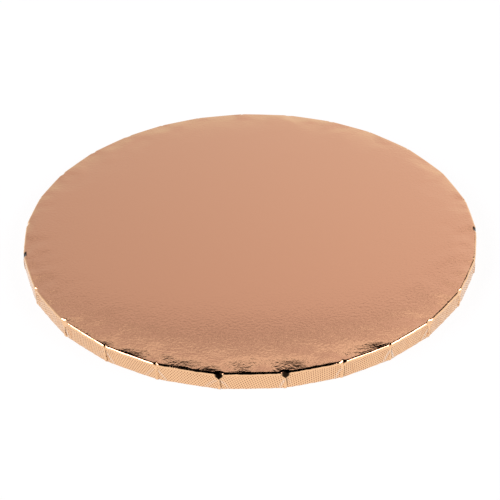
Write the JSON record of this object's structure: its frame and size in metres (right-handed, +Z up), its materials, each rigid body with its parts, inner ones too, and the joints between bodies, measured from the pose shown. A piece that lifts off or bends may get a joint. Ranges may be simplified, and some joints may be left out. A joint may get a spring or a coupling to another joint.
{
  "type": "cake board",
  "caption": "Round thick cake board: a corrugated disc wrapped in rose-gold foil-faced paper, pleated round the rim and turned in under a paper base.",
  "frame": {"origin": "middle of the underside, where the board rests", "axes": "+Z up out of the cake side, square to the board; +X and +Y in its plane, with -Y towards the picture's camera"},
  "size_m": [0.3394, 0.3386, 0.014],
  "materials": {
    "foil": "polished",
    "board": "matte",
    "base_paper": "matte"
  },
  "bodies": {
    "root": {"foil_wrap": "foil", "core_ply_upper": "board", "core_ply_lower": "board", "base_sheet": "base_paper"}
  },
  "joints": []
}
